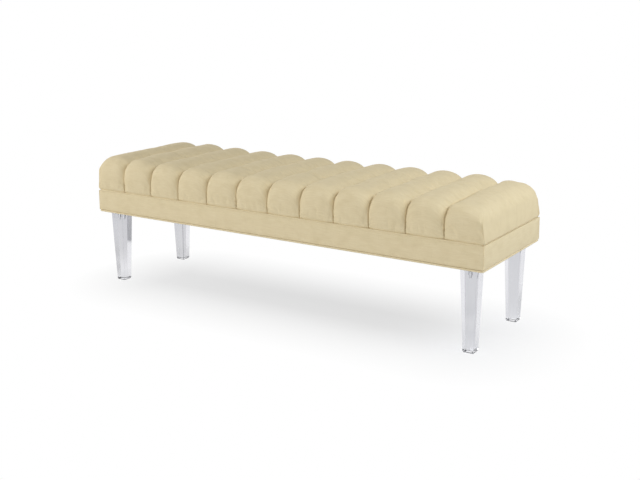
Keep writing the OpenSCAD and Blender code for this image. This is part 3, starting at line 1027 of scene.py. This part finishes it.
def leg(name, node, x, y, material):
    """A clear tapered leg with bevelled edges, bored from above for its insert and stud."""
    shape = bmesh.new()
    soft = LEG_EDGE
    rim = LEG_FOOT_W - 2 * LEG_RIM
    levels = (
        (LEG_HOLLOW, rim, LEG_BEVEL),
        (LEG_LOW, rim, LEG_BEVEL),
        (LEG_LOW, LEG_FOOT_W - 2 * soft, LEG_BEVEL),
        (LEG_LOW + soft, LEG_FOOT_W, LEG_BEVEL),
        (LEG_HIGH - soft, LEG_TOP_W, LEG_BEVEL),
        (LEG_HIGH, LEG_TOP_W - 2 * soft, LEG_BEVEL),
    )
    rings = []
    for z, width, bevel in levels:
        rings.append([shape.verts.new((x + px, y + py, z)) for px, py in bevelled_square(width, bevel)])
    for low, high in zip(rings, rings[1:]):
        for k in range(len(low)):
            n = (k + 1) % len(low)
            shape.faces.new((low[k], low[n], high[n], high[k]))
    shape.faces.new(list(reversed(rings[0])))
    bore = (
        (LEG_HIGH, INSERT_BORE_R),
        (LEG_HIGH - INSERT_BORE_DEPTH, INSERT_BORE_R),
        (LEG_HIGH - INSERT_BORE_DEPTH, STUD_BORE_R),
        (LEG_HIGH - STUD_BORE_DEPTH, STUD_BORE_R),
    )
    sides = BORE_SIDES
    circles = []
    for z, radius in bore:
        ring = []
        for k in range(sides):
            angle = 2 * math.pi * (k + 0.5) / sides
            along, across = radius * math.cos(angle), radius * math.sin(angle)
            ring.append(shape.verts.new((x + along, y + across, z)))
        circles.append(ring)
    for high, low in zip(circles, circles[1:]):
        for k in range(sides):
            n = (k + 1) % sides
            shape.faces.new((high[k], high[n], low[n], low[k]))
    shape.faces.new(circles[-1])
    top_edges = []
    for ring in (rings[-1], circles[0]):
        top_edges += [shape.edges.get(pair) for pair in zip(ring, ring[1:] + ring[:1])]
    bmesh.ops.triangle_fill(shape, edges=top_edges, use_beauty=True)
    dress(from_bmesh(name, shape), material, [node])


def build_legs(material):
    for depth, sy in (("front", -1), ("rear", 1)):
        for side, sx in (("left", -1), ("right", 1)):
            leg(f"{depth}_{side}_clear_leg", f"{depth}_{side}_leg", sx * LEG_X, sy * LEG_Y, material)


def cover_lines(half, cuts, step):
    """Grid lines across the dust cover, with one on each edge of the leg cut-outs."""
    stops = sorted({-half, half, *cuts, *[-c for c in cuts]})
    lines = []
    for low, high in zip(stops, stops[1:]):
        pieces = max(int(round((high - low) / step)), 1)
        lines += [low + (high - low) * k / pieces for k in range(pieces)]
    return [*lines, half]


def cover_height(x, y):
    """The black cloth sags between the rails and ripples a little between its staples."""
    span_x, span_y = COVER_SPAN
    inner = max(1 - (x / span_x) ** 2, 0) * max(1 - (y / span_y) ** 2, 0)
    near_y = math.exp(-(((COVER_HALF_Y - abs(y)) / COVER_HEM) ** 2))
    near_x = math.exp(-(((COVER_HALF_X - abs(x)) / COVER_HEM) ** 2))
    ripple = math.sin(x * 84.0 + 1.1) * near_y + math.sin(y * 96.0 + 0.4) * near_x
    slack = math.sin(x * 17 + 0.3) * math.sin(y * 23 + 0.9) + 0.6 * math.sin(x * 41 - y * 30)
    return COVER_Z - COVER_RIPPLE * (1 + ripple) - (COVER_SAG + COVER_SLACK * slack) * inner


def in_cut(x, y):
    return CUT_INNER_X < abs(x) < CUT_OUTER_X and CUT_INNER_Y < abs(y) < CUT_OUTER_Y


def dust_sheet(material):
    """The black cloth that closes the underside, cut out round the legs."""
    xs = cover_lines(COVER_HALF_X, (CUT_INNER_X, CUT_OUTER_X), COVER_STEP[0])
    ys = cover_lines(COVER_HALF_Y, (CUT_INNER_Y, CUT_OUTER_Y), COVER_STEP[1])
    shape = bmesh.new()
    grids = []
    for lift in (0.0, COVER_T):
        grid = {}
        for i, x in enumerate(xs):
            for j, y in enumerate(ys):
                grid[i, j] = shape.verts.new((x, y, cover_height(x, y) + lift))
        grids.append(grid)
    under, over = grids
    cells = set()
    for i in range(len(xs) - 1):
        for j in range(len(ys) - 1):
            if not in_cut((xs[i] + xs[i + 1]) / 2, (ys[j] + ys[j + 1]) / 2):
                cells.add((i, j))
    for i, j in cells:
        ring = ((i, j), (i + 1, j), (i + 1, j + 1), (i, j + 1))
        shape.faces.new([under[k] for k in reversed(ring)])
        shape.faces.new([over[k] for k in ring])
        beyond = ((i, j - 1), (i + 1, j), (i, j + 1), (i - 1, j))
        for k, cell in enumerate(beyond):
            if cell not in cells:
                a, b = ring[k], ring[(k + 1) % 4]
                shape.faces.new((under[a], under[b], over[b], over[a]))
    loose = [v for v in shape.verts if not v.link_faces]
    bmesh.ops.delete(shape, geom=loose, context="VERTS")
    sheet = from_bmesh("dust_sheet", shape)
    sheet.data.polygons.foreach_set("use_smooth", [True] * len(sheet.data.polygons))
    sharpen(sheet, 60)
    dress(sheet, material, ["dust_cover"])


def white_light(mat, kind, strength):
    return add(mat, kind, {"Color": (1, 1, 1, 1), "Strength": strength})


def seeing_rays(tree):
    """Whether the camera sees the place straight, and whether through glass or in a gloss."""
    ray = add(tree, "ShaderNodeLightPath").outputs
    through = maths(tree, "MAXIMUM", ray["Is Glossy Ray"], ray["Is Transmission Ray"])
    return ray["Is Camera Ray"], through


def floor_material():
    """Pale floor: seen by the camera it is white with a soft part of its shadow. Seen through glass it
    is dimmer behind the bench and has a painted dark patch in its far left front corner: painted shade
    that greys the legs.
    """
    mat, shader, out = node_material("studio_floor")
    place = object_places(mat)
    speckle = noise(mat, place, 3.0, (1, 1, 1), 2.0)
    along, across, _ = add(mat, "ShaderNodeSeparateXYZ", {0: place}).outputs
    # A painted dark patch in the far left front corner, hidden from the camera by the glow and seen
    # through the glass: painted shade
    near = ramp(mat, across, *GLASS_CORNER_Y, 1.0, 0.0)
    far_left = ramp(mat, along, *GLASS_CORNER_X, 1.0, 0.0)
    corner = maths(mat, "MULTIPLY", near, far_left)
    pale = blend_colour(mat, speckle, (0.80, 0.80, 0.80), (0.82, 0.82, 0.82))
    colour = blend_colour(mat, corner, pale, (0.45, 0.45, 0.46))
    feed(shader, {"Base Color": colour, "Roughness": 0.9, "Specular IOR Level": 0.0})
    centred = vector_maths(mat, "ADD", place, (-SHADOW_RIGHT, SHADOW_FORWARD, 0))
    beside = vector_maths(mat, "ABSOLUTE", centred)
    past = vector_maths(mat, "ADD", beside, (-SHADOW_HALF_X, -SHADOW_HALF_Y, 0))
    reach = vector_maths(mat, "LENGTH", vector_maths(mat, "MAXIMUM", past))
    far = ramp(mat, reach, 0.0, SHADOW_FADE)
    camera, through = seeing_rays(mat)
    direct = maths(mat, "MULTIPLY", camera, ramp(mat, far, 0, 1, FLOOR_GLOW, 1.0))
    # Seen through the glass the floor glows less behind the bench, short of its right end, and least in
    # the dark corner: painted shade
    behind = ramp(mat, across, *GLASS_BEHIND_Y)
    left = ramp(mat, along, *GLASS_BEHIND_X, 1.0, 0.0)
    open_floor = ramp(mat, maths(mat, "MULTIPLY", behind, left), 0, 1, 1.0, FLOOR_GLOW_BEHIND)
    corner = ramp(mat, corner, 0, 1, 1.0, FLOOR_GLOW_CORNER)
    shaded = ramp(mat, far, 0, 1, FLOOR_GLOW_IN_GLASS, 1.0)
    dimmest = maths(mat, "MINIMUM", maths(mat, "MINIMUM", open_floor, corner), shaded)
    glowing = maths(mat, "MAXIMUM", direct, maths(mat, "MULTIPLY", through, dimmest))
    glow = white_light(mat, "ShaderNodeEmission", 1.0)
    feed(out, {"Surface": mix_shaders(mat, glowing, shader, glow)})
    return mat


def build_floor():
    size = FLOOR_HALF
    corners = [(-size, -size), (size, -size), (size, size), (-size, size)]
    floor = new_mesh("studio_floor", [(x, y, FLOOR_Z) for x, y in corners], [(0, 1, 2, 3)])
    floor.data.materials.append(floor_material())


def build_world():
    """White behind the object, and a plain soft light on it."""
    world = bpy.data.worlds.new("studio")
    bpy.context.scene.world = world
    world.use_nodes = True
    world.node_tree.nodes.clear()
    light = white_light(world, "ShaderNodeBackground", WORLD_LIGHT)
    white = white_light(world, "ShaderNodeBackground", 1.0)
    seen = maths(world, "MAXIMUM", *seeing_rays(world))
    add(world, "ShaderNodeOutputWorld", {"Surface": mix_shaders(world, seen, light, white)})


def build_lights():
    for name, place, target, size, power, colour in LAMPS:
        lamp = bpy.data.lights.new(name, "AREA")
        lamp.shape = "RECTANGLE"
        lamp.size, lamp.size_y = size
        lamp.energy = power
        lamp.color = colour
        obj = link(bpy.data.objects.new(name, lamp))
        obj.location = place
        way = Vector(target) - Vector(place)
        obj.rotation_euler = way.to_track_quat("-Z", "Y").to_euler()


def build_camera():
    """The photograph's view: its middle lies below the lens axis, so the lens is shifted."""
    azimuth, elevation = CAMERA_AZIMUTH, CAMERA_ELEVATION
    back = Vector(
        (
            math.sin(azimuth) * math.cos(elevation),
            -math.cos(azimuth) * math.cos(elevation),
            math.sin(elevation),
        )
    )
    place = Vector(CAMERA_TARGET) + back * CAMERA_DISTANCE
    level = (-back).cross(Vector((0, 0, 1))).normalized()
    upright = level.cross(-back)
    right = level * math.cos(CAMERA_ROLL) + upright * math.sin(CAMERA_ROLL)
    up = upright * math.cos(CAMERA_ROLL) - level * math.sin(CAMERA_ROLL)
    lens = bpy.data.cameras.new("camera")
    lens.sensor_width = SENSOR_MM
    lens.lens = FOCAL_PX * SENSOR_MM / IMAGE_W
    lens.shift_y = (CENTRE_Y_PX - IMAGE_H / 2) / IMAGE_W
    lens.clip_end = 60
    camera = link(bpy.data.objects.new("camera", lens))
    turn = Matrix((right, up, back)).transposed()
    camera.matrix_world = Matrix.Translation(place) @ turn.to_4x4()
    bpy.context.scene.camera = camera


NODE_MATERIALS = {
    "frame_wood": pine_material,
    "plywood": plywood_material,
    "foam": foam_material,
    "backing": lambda: plain_cloth_material("backing", (0.86, 0.84, 0.76), (0.80, 0.78, 0.70), 0.0008),
    "foot_pad": rubber_material,
    "hardware": metal_material,
}


def dress_nodes():
    """Gives the carried-over CAD nodes their detailed materials."""
    slots = {s["node"]: s["material_slot"] for s in frame["record"]["subparts"]}
    made = {slot: make() for slot, make in NODE_MATERIALS.items()}
    for node, obj in frame["nodes"].items():
        if slots[node] in made:
            obj.data.materials.clear()
            obj.data.materials.append(made[slots[node]])


def main():
    scene = bpy.context.scene
    scene.view_settings.view_transform = "Standard"
    build_camera()
    seat_cloth = fabric_material("seat_fabric")
    band_cloth = fabric_material("band_fabric")
    welt_cloth = fabric_material("welt_fabric", WELT_TURN)
    build_seat(seat_cloth)
    build_band(band_cloth)
    welt("top_cord", "top_welt", *TOP_WELT_AT, TOP_WELT_R, welt_cloth, 21)
    welt("bottom_cord", "bottom_welt", *BOTTOM_WELT_AT, BOTTOM_WELT_R, welt_cloth, 22)
    build_legs(acrylic_material())
    dust_sheet(plain_cloth_material("dust_cloth", (0.012, 0.012, 0.013), (0.022, 0.022, 0.024), 0.0011))
    dress_nodes()
    build_floor()
    build_world()
    build_lights()


main()
